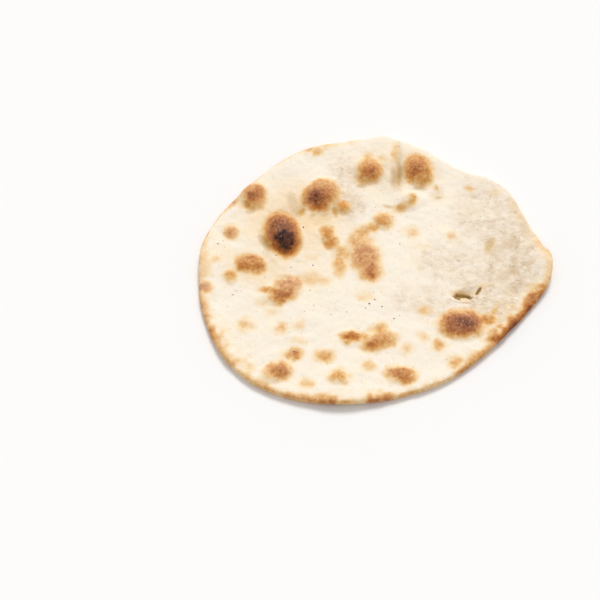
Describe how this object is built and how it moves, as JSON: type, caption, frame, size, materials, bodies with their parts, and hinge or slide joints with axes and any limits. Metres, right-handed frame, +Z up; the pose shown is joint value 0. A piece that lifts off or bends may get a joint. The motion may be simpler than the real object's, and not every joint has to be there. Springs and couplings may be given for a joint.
{
  "type": "tandoori roti",
  "caption": "Round unleavened flatbread lying flat, with an uneven edge, raised charred bubbles, toasted brown spots, a creased top edge and one burst bubble.",
  "frame": {"origin": "middle of the footprint, on the surface that the roti lies on", "axes": "+Z up out of the blistered side, +X along the widest direction towards the edge with the small raised lobe, +Y towards the edge with the two tall bubbles and the crease between them"},
  "size_m": [0.2037, 0.1845, 0.0101],
  "materials": {
    "baked_dough": "dry matt baked wheat dough, cream with toasted brown and black spots"
  },
  "bodies": {
    "root": {"roti": "baked_dough"}
  },
  "joints": []
}
